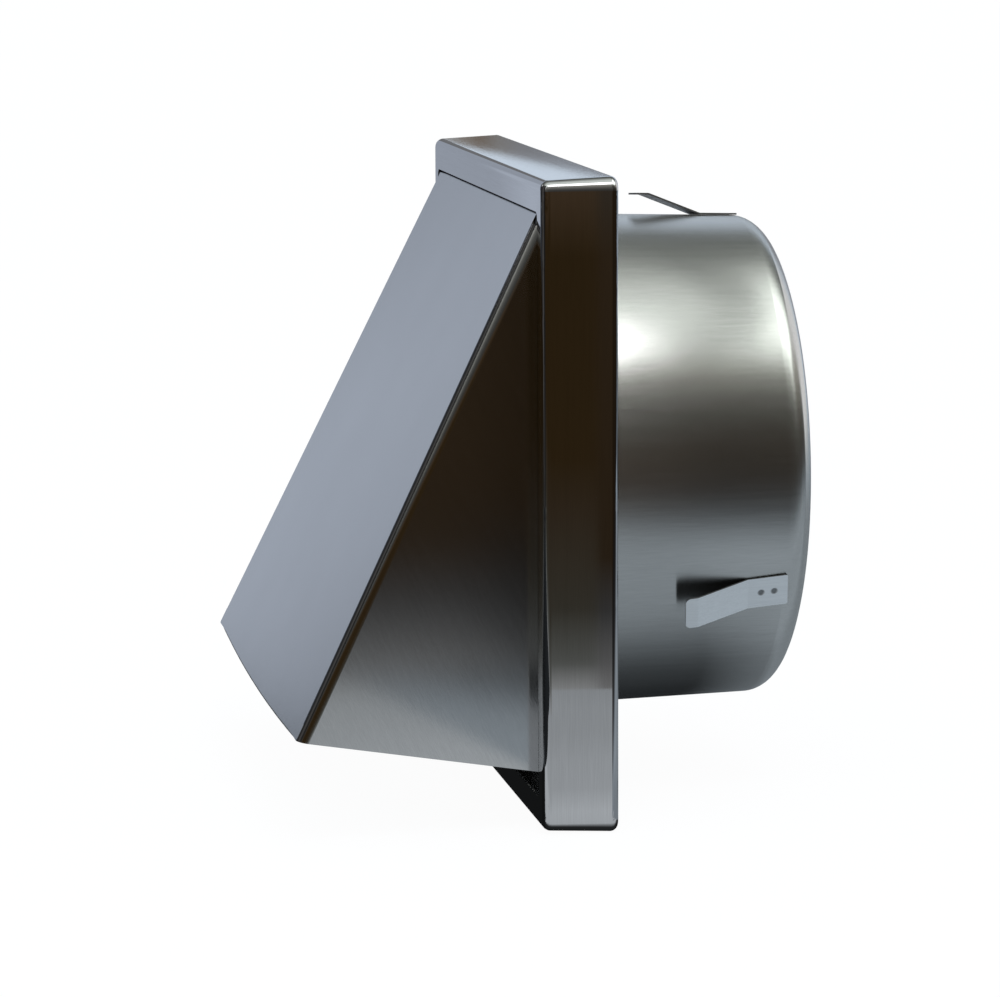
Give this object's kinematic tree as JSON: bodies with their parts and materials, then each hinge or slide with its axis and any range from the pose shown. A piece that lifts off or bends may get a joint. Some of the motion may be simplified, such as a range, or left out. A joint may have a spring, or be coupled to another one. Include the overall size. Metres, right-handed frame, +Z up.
{
  "type": "air intake vent",
  "caption": "Cowled stainless wall vent: a square drawn frame with a sloping hood open below, a round duct spigot behind with spring clips, and a wire guard across the throat.",
  "frame": {"origin": "on the duct's axis, in the plane of the frame's turned-in back edge, which lies on the wall; the frame's middle is 1.35 mm lower", "axes": "+Y into the wall along the duct, +Z up, +X to the right for someone facing the wall"},
  "size_m": [0.192, 0.1548, 0.1857],
  "materials": {
    "frame_steel": "satin stainless sheet, drawn, fine grain",
    "hood_steel": "brushed stainless sheet, grain down the slope",
    "spigot_steel": "satin stainless, drawn, faint streaks along the duct",
    "clip_spring_steel": "bare spring strip, matt",
    "guard_wire": "bright drawn wire"
  },
  "bodies": {
    "root": {"frame": "frame_steel", "hood": "hood_steel", "spigot": "spigot_steel", "spring_clip_top": "clip_spring_steel", "spring_clip_right": "clip_spring_steel", "spring_clip_left": "clip_spring_steel", "guard_mesh": "guard_wire"}
  },
  "joints": []
}
